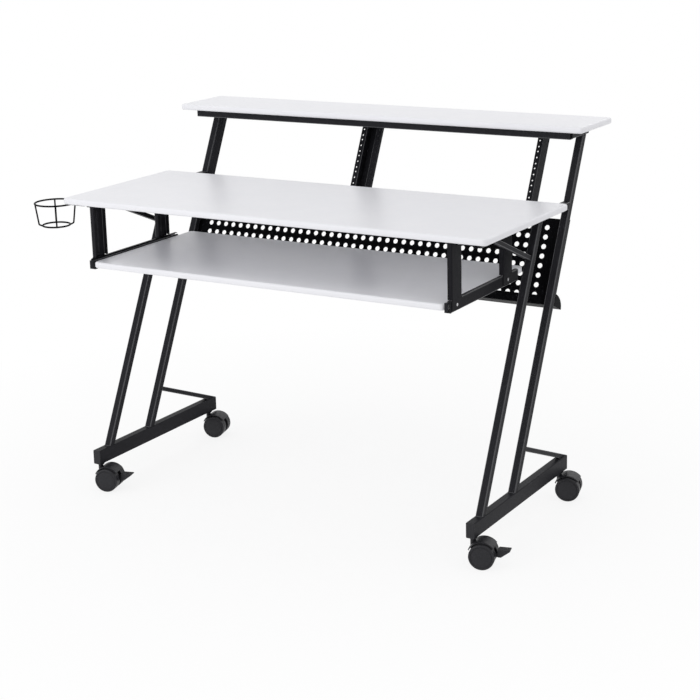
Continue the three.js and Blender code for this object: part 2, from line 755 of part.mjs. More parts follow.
// A wheel whose flats, and not its corners, touch the floor and the true diameter
function casterWheel(sign) {
  const corner = 1 / Math.cos(Math.PI / wheelSides);
  const inner = wheelGap / 2;
  const outer = inner + wheelWidth;
  const bore = (axleDiameter + axlePlay) / 2;
  const profile = [
    [0, inner + wheelBoreDepth],
    [bore * corner, inner + wheelBoreDepth],
    [bore * corner, inner],
    [wheelRadius * corner, inner],
    [wheelRadius * corner, outer - wheelCrown],
    [(wheelRadius - wheelCrown) * corner, outer],
    [0, outer],
  ];
  const points = profile.map(([radius, along]) => new THREE.Vector2(radius, along));
  const wheel = new THREE.LatheGeometry(points, wheelSides, Math.PI / wheelSides);
  if (sign < 0) wheel.rotateX(Math.PI);
  return wheel.translate(casterTrail, 0, wheelRadius);
}

// A pedal on a fork whose two cheeks turn on the axle, one on each side of the housing's web
function brakeLever() {
  const cheekShape = new THREE.Shape();
  cheekShape.moveTo(pedalStart + leverCheek, -leverArmHeight / 2);
  cheekShape.lineTo(pedalStart + leverCheek, leverArmHeight / 2);
  cheekShape.absarc(0, 0, leverHubRadius, Math.PI / 4, Math.PI * 1.75);
  cheekShape.holes.push(new THREE.Path().absarc(0, 0, (axleDiameter + axlePlay) / 2, 0, Math.PI * 2));
  const inside = webThickness / 2 + seatGap;
  const cheeks = [-inside - leverCheek, inside].map((from) =>
    extrude("y", cheekShape, from, from + leverCheek, 5));
  const pedal = extrude("y", outline([
    [pedalStart, -pedalFootDrop],
    [pedalStart + pedalFootLength, -pedalFootDrop],
    [pedalReach, pedalTop - pedalTipThickness],
    [pedalReach, pedalTop],
    [pedalStart, pedalTop],
  ]), -pedalWidth / 2, pedalWidth / 2);
  return join(...cheeks, pedal).translate(casterTrail, 0, wheelRadius);
}

function caster(name, x, y, braked) {
  const group = new THREE.Group();
  group.position.set(x, y, 0);
  group.rotation.z = casterSwivel;
  group.add(piece(`${name}_caster_socket`, casterSocket(), blackSteel));
  group.add(piece(`${name}_caster_housing`, casterHousing(), blackPlastic));
  group.add(piece(`${name}_near_wheel`, casterWheel(-1), blackPlastic));
  group.add(piece(`${name}_far_wheel`, casterWheel(1), blackPlastic));
  if (braked) group.add(piece(`${name}_brake_lever`, brakeLever(), blackPlastic));
  return group;
}

// The whole desk
const desk = new THREE.Group();
desk.add(piece("desktop_board", board(deskWidth, desktopDepth, 0, desktopTopHeight, deskCornerRadius), paintedBoard));
desk.add(piece("shelf_board", board(deskWidth, shelfDepth, shelfSetback, deskHeight, shelfCornerRadius), paintedBoard));
desk.add(piece("tray_board", board(trayWidth, trayDepth, -trayOverhang, trayTopHeight, deskCornerRadius), paintedBoard));
desk.add(piece("shelf_bar", shelfBar(), blackSteel));
desk.add(piece("cup_holder", cupHolder(), blackSteel));
desk.add(rackAndPanel());
for (const [side, sign] of [["left", -1], ["right", 1]]) {
  desk.add(sideFrame(side, sign));
  desk.add(traySide(side, sign));
  const [front, rear] = casterPlaces();
  desk.add(caster(`${side}_front`, sign * frameHalfSpacing, front, true));
  desk.add(caster(`${side}_rear`, sign * frameHalfSpacing, rear, false));
}

const bounds = new THREE.Box3().setFromObject(desk, true);
const middle = bounds.getCenter(new THREE.Vector3());
desk.position.set(-middle.x, -middle.y, -bounds.min.z);

export default desk;
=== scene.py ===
import math

import bmesh
import bpy
from mathutils import Matrix, Vector


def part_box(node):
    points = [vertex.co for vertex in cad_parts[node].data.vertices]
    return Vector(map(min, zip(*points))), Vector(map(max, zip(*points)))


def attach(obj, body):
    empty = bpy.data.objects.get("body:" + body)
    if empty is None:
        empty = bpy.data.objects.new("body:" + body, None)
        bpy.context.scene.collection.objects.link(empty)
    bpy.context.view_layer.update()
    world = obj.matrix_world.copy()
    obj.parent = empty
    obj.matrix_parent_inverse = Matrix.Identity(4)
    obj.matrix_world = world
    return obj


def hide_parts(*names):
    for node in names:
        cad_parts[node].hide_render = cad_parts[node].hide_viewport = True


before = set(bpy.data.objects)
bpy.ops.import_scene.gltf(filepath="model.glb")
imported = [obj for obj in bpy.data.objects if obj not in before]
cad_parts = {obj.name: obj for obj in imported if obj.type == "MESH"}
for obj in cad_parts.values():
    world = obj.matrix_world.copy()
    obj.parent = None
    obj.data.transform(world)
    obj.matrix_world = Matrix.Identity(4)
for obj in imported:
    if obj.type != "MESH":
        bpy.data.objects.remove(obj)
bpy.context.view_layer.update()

# Every shape is drawn in millimetres from the middle of the desktop's front edge at floor level,
# X to the user's right, Y to the back, Z up, and is brought into the frame's metres at the end.
MM = 0.001
desktop_low, desktop_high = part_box("desktop_board")
desk_origin = Vector(((desktop_low.x + desktop_high.x) / 2, desktop_low.y, 0))
TO_FRAME = Matrix.Translation(desk_origin) @ Matrix.Scale(MM, 4)

# Section planes for extrusions along each axis: the section's two directions, then the length
ALONG_X = Matrix(((0, 0, 1, 0), (1, 0, 0, 0), (0, 1, 0, 0), (0, 0, 0, 1)))
ALONG_Y = Matrix(((1, 0, 0, 0), (0, 0, 1, 0), (0, 1, 0, 0), (0, 0, 0, 1)))
ALONG_Z = Matrix.Identity(4)
SIDES = (("left", -1), ("right", 1))

# Turns that point a lathe's or a screw's Z to the right and down
RIGHTWARD = Matrix.Rotation(math.pi / 2, 4, "Y")
DOWNWARD = Matrix.Rotation(math.pi, 4, "X")

# A painted highlight, a lighter coat colour, goes on strips narrower and longer than these
fold_strip_most = 1.15
fold_length_least = 30

# Corners nearer than this become one, and edges sharper than this stay sharp
merge_distance = 1e-3
sharp_angle = math.radians(35)

# Steps around round forms; the small ones are screws and axles
hole_steps = 24
wheel_steps = 72
roller_steps = 40
ring_steps = 64
stem_steps = 32
small_steps = 24
pin_steps = 20

# Boards
board_thickness = 16
board_edge_round = 5
least_slab_corner = 0.2
desktop = {"width": 1200, "depth": 447, "front": 0, "top": 782, "corner": 12}
shelf = {"width": 1200, "depth": 190, "front": 522, "top": 955, "corner": 6}
tray = {"width": 1000, "depth": 417, "front": -12, "top": 628, "corner": 12}
desktop_underside = desktop["top"] - board_thickness
shelf_underside = shelf["top"] - board_thickness

# Side frames
seat_gap = 0.3
frame_x = 550
leg_tube = 19
leg_wall = 1.5
leg_corner = 2.2
least_corner = 0.4
front_foot = 67
rear_foot = 241
rear_leg_inset = 67.6
base_width = 22
base_height = 38
base_wall = 1.5
base_front = 11
base_length = 528
base_underside = 70
base_top = base_underside + base_height
base_rear = base_front + base_length
cap_thickness = 2
cap_outer_round = 1.1
cap_inner_round = 0.3
strut_tube = 12
strut_wall = 1.2
strut_corner = 1.6
brace_rise = 92
brace_foot_inset = 17
arm_front = 60
desk_strut_inset = 84
desk_strut_drop = 78
bar_setback = 20
shelf_arm_setback = 52
arm_top = desktop_underside - seat_gap
arm_foot = arm_top - leg_tube - seat_gap
shelf_arm_top = shelf_underside - seat_gap
shelf_arm_foot = shelf_arm_top - leg_tube - seat_gap
shelf_rear = shelf["front"] + shelf["depth"]
bar_front = shelf["front"] + bar_setback
shelf_arm_rear = shelf_rear - shelf_arm_setback
leg_run = shelf_rear - rear_leg_inset - rear_foot
leg_rise = shelf_arm_top - base_top
lean = math.atan2(leg_run, leg_rise)
leg_half_run = leg_tube / 2 / math.cos(lean)
weld_radius = 1.5
weld_pitch = 3.2
weld_swell_share = 0.14
brace_weld_radius = 1.2
brace_weld_setback = 15

# Tube sections: the size across X and across the other way, the wall and the corner radius
LEG_SECTION = ((leg_tube, leg_tube), leg_wall, leg_corner)
BASE_SECTION = ((base_width, base_height), base_wall, leg_corner)
STRUT_SECTION = ((strut_tube, strut_tube), strut_wall, strut_corner)

# Directions that tubes are cut square to
ACROSS = Vector((1, 0, 0))
BACK = Vector((0, 1, 0))
UP = Vector((0, 0, 1))
LEG_FACE = Vector((0, math.cos(lean), -math.sin(lean)))

# Back panel, cable tray and rails, in the plane of the rear legs
SLOPE = Matrix.Translation((0, rear_foot, base_top)) @ Matrix.Rotation(-lean, 4, "X")
panel_half = frame_x + leg_tube / 2
panel_front = leg_tube / 2 + seat_gap
sheet = 1.2
panel_back = panel_front + sheet
panel_height = 219
bay_height = 239
panel_top = leg_rise / math.cos(lean) - bay_height
panel_low = panel_top - panel_height
peg_pitch = 24.5
peg_radius = 6.5
peg_columns = 42
peg_rows = 8
peg_first_rise = 23
trough_depth = 45
trough_bend = 2
trough_edge = 0.3
trough_seam = 23
trough_lip = 6
trough_ear = 30
rack_spacing = 465.1
rack_wide = 15.875
rack_narrow = 12.7
rack_holes = 12
rack_hole_radius = 2
rack_hole_rim = 1.2
rail_flange = 16
rail_depth = 35
rail_sheet = 1.5
rail_hole_line = 9.5
rail_hole_margin = 26
rail_chamfer = 10
rail_notch = 42
rail_foot = 24
rail_tab = 20
rail_fold_reach = 3
rail_fold_bend = 0.9
rail_seam = 0.6
rail_pad_corner = 3
rail_screw_rise = 7
divider_gap = 28
rail_front = -leg_tube / 2

# Tray slides
slide_inner = tray["width"] / 2 + seat_gap
slide_outer = slide_inner + 12
slide_middle = tray["top"] - board_thickness / 2
slide_height = 28
slide_sheet = 1.2
slide_bend = 1.6
slide_setback = 4.9
slide_length = 355
slide_front = tray["front"] + slide_setback
slide_rear = slide_front + slide_length
outer_flange = 8.8
runner_seam = 6
runner_nose = 8
runner_nose_corner = 7
inner_height = 21.6
inner_flange = 8.7
inner_setback = 3
inner_overlap = 4
inner_web_corner = 5
hook_reach = 8
hook_bend = 3
pin_radius = 3
pin_end_radius = 2.6
pin_end_gap = 1.5
pin_end_chamfer = 0.5
pin_root = 1

# Rollers
roller_inset = 14
roller_width = 7.5
rear_roller_radius = 12
front_roller_radius = 9
roller_end_gap = 3
roller_bore = 3.4
roller_hub = 5.4
roller_recess = 0.9
roller_slope = 0.4
roller_rim = 1.8
roller_edge = 0.7
rear_roller_z = slide_middle - slide_height / 2 + slide_sheet + seat_gap + rear_roller_radius
front_roller_z = slide_middle + inner_height / 2 - slide_sheet - seat_gap - front_roller_radius
roller_x = (slide_inner + slide_outer) / 2

# Hangers; a rib's line is its place along the web, then its height over it
hanger_sheet = 1.5
hanger_width = 48
hanger_flange = 12
hanger_fronts = (3, 265)
hanger_face = slide_outer + seat_gap
hanger_flange_gap = 1.5
hanger_flange_foot = slide_middle + slide_height / 2 + hanger_flange_gap
hanger_lift = 2.5
hanger_bend = 2
hanger_corners = [6, 6, 2, 2]
hanger_foot = 20
hanger_foot_chamfer = 13
hanger_foot_corners = [0, 3, 4, 4, 3, 0]
hanger_edge = 0.25
rib_line = [(-0.5, 0), (2, 1.1), (4.5, 1.1), (7, 0)]
rib_sheet = 0.5
rib_bend = 1
rib_half = 3
rib_rise = 0.3
rib_foot_gap = 10
rib_top_gap = 14

# Screws
large_screw = {"radius": 3.6, "height": 2.2, "slot_reach": 2.3, "slot_width": 0.9}
small_screw = {"radius": 2.2, "height": 1.7, "slot_reach": 1.5, "slot_width": 0.7}
washer_rim = 1.4
washer_edge = 0.5
washer_top = 0.7
screw_sink = 0.4
slot_lip = 0.1
slot_depth = 1
slot_reach_share = 0.98
slot_corner_share = 0.9
runner_screw_rise = 0.7
foot_screw_places = (14, 34)
foot_screw_reach = 12

# Cup holder; an upright's points are offsets from the upper ring, then from the foot ring
cup_centre = (-desktop["width"] / 2 - 45, 25)
cup_ring = 52
cup_foot_ring = 35
cup_wire = 2.25
cup_upright_wire = 2.07
cup_drop = 58
cup_ring_z = 762.25
cup_foot_z = cup_ring_z - cup_drop
cup_turn = math.radians(41.8)
cup_upper_points = [(-1, 1), (-1.5, -6)]
cup_lower_points = [(9, 3.2), (1.5, -0.4), (-2, -0.8)]
cup_bends = [0, 8, 3, 1, 0]
cup_strip_inset = 4
cup_strip_reach = 58
cup_strip_width = 30
cup_strip_sheet = 2
cup_strip_corner = 5
cup_strip_edge = 0.3
cup_screw_reaches = (12, 46)

# Casters; the wheel's tables give a radius or an inset from the tread, then a distance along the axle,
# and the stem's gives a radius, then a height over the socket's foot
caster_places = (("front", 26), ("rear", 514))
caster_turn = math.radians(14.8)
caster_trail = 24.6
wheel_radius = 31
wheel_inner = 7
wheel_outer = 31
wheel_edge = 3.2
wheel_rim_drop = 0.9
wheel_face_drops = [(0, 0.4), (8, 0.45), (18, 0.9), (24.6, 1.6), (25.2, 2.2), (25.8, 1.5), (26.6, 0.9)]
wheel_groove_shares = (0.62, 0.3)
wheel_groove = 0.7
wheel_groove_levels = [(0, 0.9), (wheel_groove, 0.5), (wheel_groove, -0.5), (0, -0.9)]
wheel_skirt_insets = [(0, 1.6), (1.2, 0.2), (3, 0), (4, 0.4), (4.4, 6)]
wheel_hub_rises = [(9, 6.5), (8.4, 0.4), (7.6, 0), (3.4, 0), (3.4, 18), (0, 18)]
hood_inner = 33.2
hood_outer = 35.8
hood_width = 46
hood_start = math.radians(38)
hood_end = math.radians(156)
hood_steps = 28
hood_shrink = 1.4
hood_round = 2
hood_web_half = 3
hood_overlap = 1
hub_radius = 9
axle_radius = 3
axle_half = 24
axle_end_radius = 2.6
axle_end_chamfer = 0.5
socket_bore = 4.95
socket_flange = 10
socket_flange_height = 2.5
socket_edge = 0.8
socket_barrel = 7
socket_length = 24
socket_tip = 1
stem_rises = [(0, -26), (5.4, -26), (6.4, -24), (6.5, -3), (6.1, 0), (4.5, 0), (4.5, 24.5), (3.4, 27),
              (0, 27)]

# Brake levers, drawn in the wheel's plane: the distance ahead of the axle, then above it
lever_hub = 7.5
lever_opening = math.radians(38)
lever_root = 37.4
lever_root_half = 4.5
lever_cheek_levels = (3.3, 5.7)
pedal_outline = [(35, -3), (43, -3), (64.4, 13), (64.4, 15.5), (35, 15.5)]
pedal_corners = [1.5, 3, 1, 1, 1.5]
pedal_half = 11
pedal_edge = 0.6
pedal_ribs = 5
pedal_rib_first = 46
pedal_rib_pitch = 3.6
pedal_rib_width = 1.5
pedal_rib_low = 15
pedal_rib_high = 16
pedal_rib_half = 8.5
pedal_rib_corner = 0.4


# Mesh code

def arc(centre, radius, start, end, steps):
    """Points on a circle's arc, both ends included."""
    angles = [start + (end - start) * step / steps for step in range(steps + 1)]
    return [(centre[0] + radius * math.cos(a), centre[1] + radius * math.sin(a)) for a in angles]


def circle(radius, steps, centre=(0, 0)):
    return arc(centre, radius, 0, 2 * math.pi, steps)[:-1]


def quarter(steps):
    """A quarter circle of radius 1, from the first direction to the second."""
    return arc((0, 0), 1, 0, math.pi / 2, steps)


def rounded(corners, radii, steps=5, closed=True):
    """An outline with its corners rounded; radii is one number or one for each corner."""
    count = len(corners)
    sizes = radii if isinstance(radii, (list, tuple)) else [radii] * count
    points = []
    for index, (corner, radius) in enumerate(zip(corners, sizes)):
        here = Vector(corner)
        if radius <= 0 or (not closed and index in (0, count - 1)):
            points.append(tuple(here))
            continue
        back = (Vector(corners[index - 1]) - here).normalized()
        ahead = (Vector(corners[(index + 1) % count]) - here).normalized()
        half = back.angle(ahead) / 2
        centre = here + (back + ahead).normalized() * radius / math.sin(half)
        reach = radius / math.tan(half)
        start = here + back * reach - centre
        end = here + ahead * reach - centre
        first = math.atan2(start.y, start.x)
        sweep = (math.atan2(end.y, end.x) - first + math.pi) % (2 * math.pi) - math.pi
        points += arc(centre, radius, first, first + sweep, steps)
    return points


def mirrored(sign):
    return Matrix.Scale(sign, 4, (1, 0, 0))


def rectangle(low, high):
    return [low, (high[0], low[1]), high, (low[0], high[1])]


def folded(line, thickness, bend, steps=4):
    """The outline of sheet metal that is bent along a line, with the line at the sheet's middle."""
    middle = [Vector(point) for point in rounded(line, bend, steps, closed=False)]
    left, right = [], []
    for index, point in enumerate(middle):
        before = (point - middle[index - 1]).normalized() if index else None
        after = (middle[index + 1] - point).normalized() if index < len(middle) - 1 else None
        along = ((before or after) + (after or before)).normalized()
        across = Vector((-along.y, along.x)) * thickness / 2
        left.append(tuple(point + across))
        right.append(tuple(point - across))
    return left + right[::-1]


def add_ring(shape, points, matrix):
    return [shape.verts.new(matrix @ Vector(point)) for point in points]


def add_level(shape, outline, height, matrix):
    """A ring from an outline's two directions and one height."""
    return add_ring(shape, [(u, v, height) for u, v in outline], matrix)


def bridge(shape, first, second):
    """A band of faces between two rings with as many points."""
    for index in range(len(first)):
        after = (index + 1) % len(first)
        shape.faces.new((first[index], first[after], second[after], second[index]))


def skin(shape, rings):
    """Joins a row of rings and closes both its ends."""
    for first, second in zip(rings, rings[1:]):
        bridge(shape, first, second)
    shape.faces.new(rings[0])
    shape.faces.new(rings[-1])


def prism(shape, outline, low, high, matrix):
    """A solid between two heights over an outline."""
    skin(shape, [add_level(shape, outline, height, matrix) for height in (low, high)])


def soft_slab(shape, corners, corner_radius, low, high, edges, matrix, steps):
    """A slab whose lower and upper edges are rounded by their own radii."""
    low_edge, high_edge = edges
    (left, bottom), (right, top) = corners
    levels = [(low_edge * (1 - v), low + low_edge * (1 - u)) for u, v in quarter(steps)]
    levels += [(high_edge * (1 - u), high - high_edge * (1 - v)) for u, v in quarter(steps)]
    rings = []
    for inset, height in levels:
        sides = rectangle((left + inset, bottom + inset), (right - inset, top - inset))
        outline = rounded(sides, max(corner_radius - inset, least_slab_corner), 6)
        rings.append(add_level(shape, outline, height, matrix))
    skin(shape, rings)


def lathe(shape, profile, matrix, segments, closed=False):
    """A profile of radius and height turned about the matrix's Z; radius 0 makes a pole."""
    rings = []
    for radius, height in profile:
        if radius == 0:
            rings.append([shape.verts.new(matrix @ Vector((0, 0, height)))])
            continue
        rings.append(add_level(shape, circle(radius, segments), height, matrix))
    pairs = list(zip(rings, rings[1:]))
    if closed:
        pairs.append((rings[-1], rings[0]))
    for first, second in pairs:
        if len(first) == 1 or len(second) == 1:
            pole, ring = (first[0], second) if len(first) == 1 else (second[0], first)
            for index in range(segments):
                shape.faces.new((ring[index], ring[(index + 1) % segments], pole))
        else:
            bridge(shape, first, second)


def wire(shape, path, radius, matrix=ALONG_Z, segments=14, closed=False):
    """A round rod along a path of points; radius is one number or one for each point."""
    points = [matrix @ Vector(point) for point in path]
    count = len(points)
    sizes = radius if isinstance(radius, list) else [radius] * count
    rings = []
    side = None
    for index, (point, size) in enumerate(zip(points, sizes)):
        ahead = points[(index + 1) % count] if closed or index < count - 1 else point
        behind = points[index - 1] if closed or index else point
        along = (ahead - behind).normalized()
        if side is None:
            side = along.orthogonal().normalized()
        side = (side - along * side.dot(along)).normalized()
        other = along.cross(side)
        rings.append([shape.verts.new(point + side * u + other * v) for u, v in circle(size, segments)])
    if not closed:
        skin(shape, rings)
        return
    for first, second in zip(rings, rings[1:] + rings[:1]):
        bridge(shape, first, second)


def cell_points(centre, half):
    """Where rays from a square cell's middle meet its sides."""
    return [(centre[0] + half * u / max(abs(u), abs(v)), centre[1] + half * v / max(abs(u), abs(v)))
            for u, v in circle(1, hole_steps)]


def holed_plate(shape, corners, columns, rows, half, radius, levels, matrix):
    """A flat plate with round holes at every crossing of its columns and rows, each in a square cell."""
    (left, bottom), (right, top) = corners
    cells = {(u, v): cell_points((u, v), half) for v in rows for u in columns}
    for centre, sides in cells.items():
        walls = []
        for height in levels:
            inner = add_level(shape, circle(radius, hole_steps, centre), height, matrix)
            bridge(shape, inner, add_level(shape, sides, height, matrix))
            walls.append(inner)
        bridge(shape, *walls)

    def on_line(axis, value):
        found = {(round(p[0], 5), round(p[1], 5)) for sides in cells.values() for p in sides
                 if abs(p[axis] - value) < merge_distance}
        return sorted(found)

    def fill(points):
        for height in levels:
            shape.faces.new(add_level(shape, points, height, matrix))

    first_u, last_u = min(columns) - half, max(columns) + half
    first_v, last_v = min(rows) - half, max(rows) + half
    fill([(left, bottom), (right, bottom)] + on_line(1, first_v)[::-1])
    fill([(left, top)] + on_line(1, last_v) + [(right, top)])
    fill([(left, bottom)] + on_line(0, first_u) + [(left, top)])
    fill([(right, bottom), (right, top)] + on_line(0, last_u)[::-1])
    for lower, upper in zip(sorted(rows), sorted(rows)[1:]):
        if upper - lower > 2 * half + merge_distance:
            fill(on_line(1, lower + half) + on_line(1, upper - half)[::-1])
    rim = rectangle((left, bottom), (right, top))
    bridge(shape, *[add_level(shape, rim, height, matrix) for height in levels])


def pan_head(shape, matrix, size=large_screw):
    """A domed screw head on a small washer, with a cross sunk into it; the matrix's Z points out."""
    radius, slot_reach, slot_width = size["radius"], size["slot_reach"], size["slot_width"]
    washer = radius + washer_rim
    dome = [(radius * u, washer_top + (size["height"] - washer_top) * v) for u, v in quarter(6)[1:5]]
    top = dome[-1][1]
    foot = [(0, -screw_sink), (washer, -screw_sink), (washer, 0), (washer, washer_edge),
            (radius, washer_top)]
    lathe(shape, foot + dome + [(slot_reach, top + slot_lip)], matrix, small_steps)
    corner = slot_width * slot_corner_share / math.sqrt(2)
    rings = []
    for reach, level in ((slot_reach * slot_reach_share, top + slot_lip), (slot_width, top - slot_depth)):
        outline = []
        for arm in range(4):
            turn = Matrix.Rotation(arm * math.pi / 2, 3, "Z")
            points = ((reach, -slot_width / 2), (reach, slot_width / 2), (corner, corner))
            outline += [turn @ Vector((*point, level)) for point in points]
        rings.append(add_ring(shape, outline, matrix))
    bridge(shape, *rings)
    shape.faces.new(rings[1])


# Materials

def node_material(name, colour, roughness, gloss, metallic=0.0):
    made = bpy.data.materials.new(name)
    made.use_nodes = True
    shader = made.node_tree.nodes["Principled BSDF"]
    for key, value in (("Base Color", (*colour, 1)), ("Roughness", roughness),
                       ("Specular IOR Level", gloss), ("Metallic", metallic)):
        shader.inputs[key].default_value = value
    return made, made.node_tree, shader


def add_node(tree, kind, values=(), **settings):
    """A shader node with the values of its inputs and its own settings."""
    node = tree.nodes.new(f"ShaderNode{kind}")
    for name, value in values:
        node.inputs[name].default_value = value
    for name, value in settings.items():
        setattr(node, name, value)
    return node


def noise(tree, scale, detail):
    """A noise pattern fixed to the piece, its scale in cycles per metre."""
    place = add_node(tree, "TexCoord")
    pattern = add_node(tree, "TexNoise", (("Scale", scale), ("Detail", detail)))
    tree.links.new(place.outputs["Object"], pattern.inputs["Vector"])
    return pattern.outputs["Fac"]


def ramp(tree, source, low, high, from_value=0.3, to_value=0.7):
    """Maps a pattern to a range of values."""
    spread = add_node(tree, "MapRange", (("From Min", from_value), ("From Max", to_value),
                                         ("To Min", low), ("To Max", high)))
    tree.links.new(source, spread.inputs["Value"])
    return spread.outputs["Result"]


def tint(tree, shader, source, dark, light):
    """Lets the base colour wander between two shades."""
    mix = add_node(tree, "Mix", data_type="RGBA")
    mix.inputs[6].default_value = (*dark, 1)
    mix.inputs[7].default_value = (*light, 1)
    tree.links.new(source, mix.inputs[0])
    tree.links.new(mix.outputs[2], shader.inputs["Base Color"])


def bump(tree, shader, layers):
    """Stacks bump patterns, each with its strength and its depth in metres."""
    previous = None
    for source, strength, depth in layers:
        node = add_node(tree, "Bump", (("Strength", strength), ("Distance", depth)))
        tree.links.new(source, node.inputs["Height"])
        if previous:
            tree.links.new(previous, node.inputs["Normal"])
        previous = node.outputs["Normal"]
    tree.links.new(previous, shader.inputs["Normal"])


def finish(name, dark, light, grain, roughness, bumps, gloss=0.5, metallic=0.0):
    """A material whose colour wanders between two shades over a grain, a noise's scale and detail.
    Roughness is a scale, a detail and two ends; a bump is a scale, a detail, a strength and a depth."""
    scale, detail, smooth, rough = roughness
    made, tree, shader = node_material(name, light, smooth, gloss, metallic)
    tint(tree, shader, ramp(tree, noise(tree, *grain), 0, 1), dark, light)
    if rough > smooth:
        tree.links.new(ramp(tree, noise(tree, scale, detail), smooth, rough), shader.inputs["Roughness"])
    bump(tree, shader, [(noise(tree, *pattern), strength, depth) for *pattern, strength, depth in bumps])
    return made


def powder_coat(name, dark, light, gloss):
    """Sprayed black on steel: fine specks, a faint orange peel, and an uneven sheen."""
    return finish(name, dark, light, (900, 4), (240, 4, 0.3, 0.46),
                  [(1500, 3, 0.3, 0.00012), (320, 2, 0.12, 0.0002)], gloss)


WHITE = finish("white_melamine", (0.84, 0.842, 0.872), (0.858, 0.858, 0.886), (14, 4), (60, 5, 0.29, 0.4),
               [(2200, 2, 0.12, 0.0001), (180, 2, 0.05, 0.0003)])
STEEL = powder_coat("black_powder_coat", (0.012, 0.012, 0.014), (0.027, 0.027, 0.031), 0.045)
RAIL = powder_coat("satin_black_rail", (0.009, 0.009, 0.011), (0.02, 0.02, 0.023), 0.03)
SHEET = powder_coat("matt_black_sheet", (0.002, 0.002, 0.0025), (0.005, 0.005, 0.006), 0.02)
# Painted highlight: a lighter, glossier coat colour for folds, tube corners and weld beads, standing in
# for the light they catch
EDGE_HIGHLIGHT = powder_coat("painted_edge_highlight", (0.045, 0.045, 0.049), (0.08, 0.08, 0.086), 0.4)
PLASTIC = finish("black_moulded_plastic", (0.012, 0.012, 0.014), (0.025, 0.025, 0.029), (500, 3),
                 (120, 4, 0.34, 0.5), [(2600, 2, 0.2, 0.00008)], 0.25)
NYLON = finish("white_nylon", (0.9, 0.9, 0.88), (0.96, 0.96, 0.95), (90, 3), (0, 0, 0.3, 0.3),
               [(1200, 2, 0.15, 0.00008)])
ZINC = finish("plated_screw", (0.54, 0.54, 0.56), (0.7, 0.7, 0.72), (600, 3), (0, 0, 0.34, 0.34),
              [(2400, 2, 0.15, 0.00005)], metallic=1.0)


# Pieces

def put(name, data):
    """A new object in the scene."""
    made = bpy.data.objects.new(name, data)
    bpy.context.scene.collection.objects.link(made)
    return made


def is_fold(face):
    """Whether a face is a long narrow strip, as along a tube's corner or a sheet's fold."""
    lengths = sorted(edge.calc_length() for edge in face.edges)
    return len(lengths) == 4 and lengths[0] < fold_strip_most and lengths[-1] > fold_length_least


def add_piece(name, shape, paint, body, nodes=(), edge=0.0, fold_highlights=True):
    """Makes an object of a finished shape, softens its edges, and lets it ride on its CAD body.
    On coated steel the folds get a painted highlight, a lighter and glossier coat colour, unless the
    piece has its fold highlights turned off."""
    highlight_folds = fold_highlights and paint in (STEEL, RAIL)
    bmesh.ops.remove_doubles(shape, verts=shape.verts, dist=merge_distance)
    bmesh.ops.recalc_face_normals(shape, faces=shape.faces)
    if highlight_folds:
        for face in shape.faces:
            face.material_index = int(is_fold(face))
    shape.transform(TO_FRAME)
    mesh = bpy.data.meshes.new(name)
    shape.to_mesh(mesh)
    shape.free()
    mesh.materials.append(paint)
    if highlight_folds:
        mesh.materials.append(EDGE_HIGHLIGHT)
    mesh.shade_smooth()
    mesh.set_sharp_from_angle(angle=sharp_angle)
    piece = put(name, mesh)
    if edge:
        rounding = piece.modifiers.new("edges", "BEVEL")
        rounding.width = edge * MM
        rounding.segments = 2
        rounding.limit_method = "ANGLE"
        rounding.angle_limit = sharp_angle
    shading = piece.modifiers.new("shading", "WEIGHTED_NORMAL")
    shading.keep_sharp = not edge
    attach(piece, body)
    if nodes:
        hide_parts(*nodes)


def add_tube(node, section, start, end, normals, name=None, fold_highlights=True):
    """A hollow square tube on the frame, each end cut by a plane with its own normal."""
    size, wall, corner = section
    start, end = Vector(start), Vector(end)
    along = (end - start).normalized()
    side = ACROSS if abs(along.x) < 0.5 else BACK
    other = along.cross(side)
    shape = bmesh.new()
    rings = []
    for inset, radius in ((0, corner), (wall, max(corner - wall, least_corner))):
        half = (size[0] / 2 - inset, size[1] / 2 - inset)
        outline = rounded(rectangle((-half[0], -half[1]), half), radius)
        for point, normal in zip((start, end), normals):
            ring = []
            for u, v in outline:
                place = start + side * u + other * v
                place += along * (normal.dot(point - place) / normal.dot(along))
                ring.append(shape.verts.new(place))
            rings.append(ring)
    outer_start, outer_end, inner_start, inner_end = rings
    bridge(shape, outer_start, outer_end)
    bridge(shape, inner_start, inner_end)
    bridge(shape, outer_start, inner_start)
    bridge(shape, outer_end, inner_end)
    add_piece(name or f"{node}_tube", shape, STEEL, "frame", [node], fold_highlights=fold_highlights)


# Boards

def make_boards():
    for name, size, body in (("desktop", desktop, "frame"), ("shelf", shelf, "frame"),
                             ("tray", tray, "tray")):
        half = size["width"] / 2
        corners = ((-half, size["front"]), (half, size["front"] + size["depth"]))
        shape = bmesh.new()
        soft_slab(shape, corners, size["corner"], size["top"] - board_thickness, size["top"],
                  (board_edge_round, board_edge_round), ALONG_Z, 6)
        add_piece(f"{name}_panel", shape, WHITE, body, [f"{name}_board"])


# Side frames

def leg_at(foot, height):
    """How far back a leg's middle is at a height."""
    return foot + (height - base_top) * math.tan(lean)


def make_legs(side, sign):
    x = sign * frame_x
    low = base_top + seat_gap
    for name, foot, top in (("front", front_foot, arm_foot), ("rear", rear_foot, shelf_arm_foot)):
        add_tube(f"{side}_{name}_leg", LEG_SECTION, (x, leg_at(foot, low), low),
                 (x, leg_at(foot, top), top), (UP, UP))


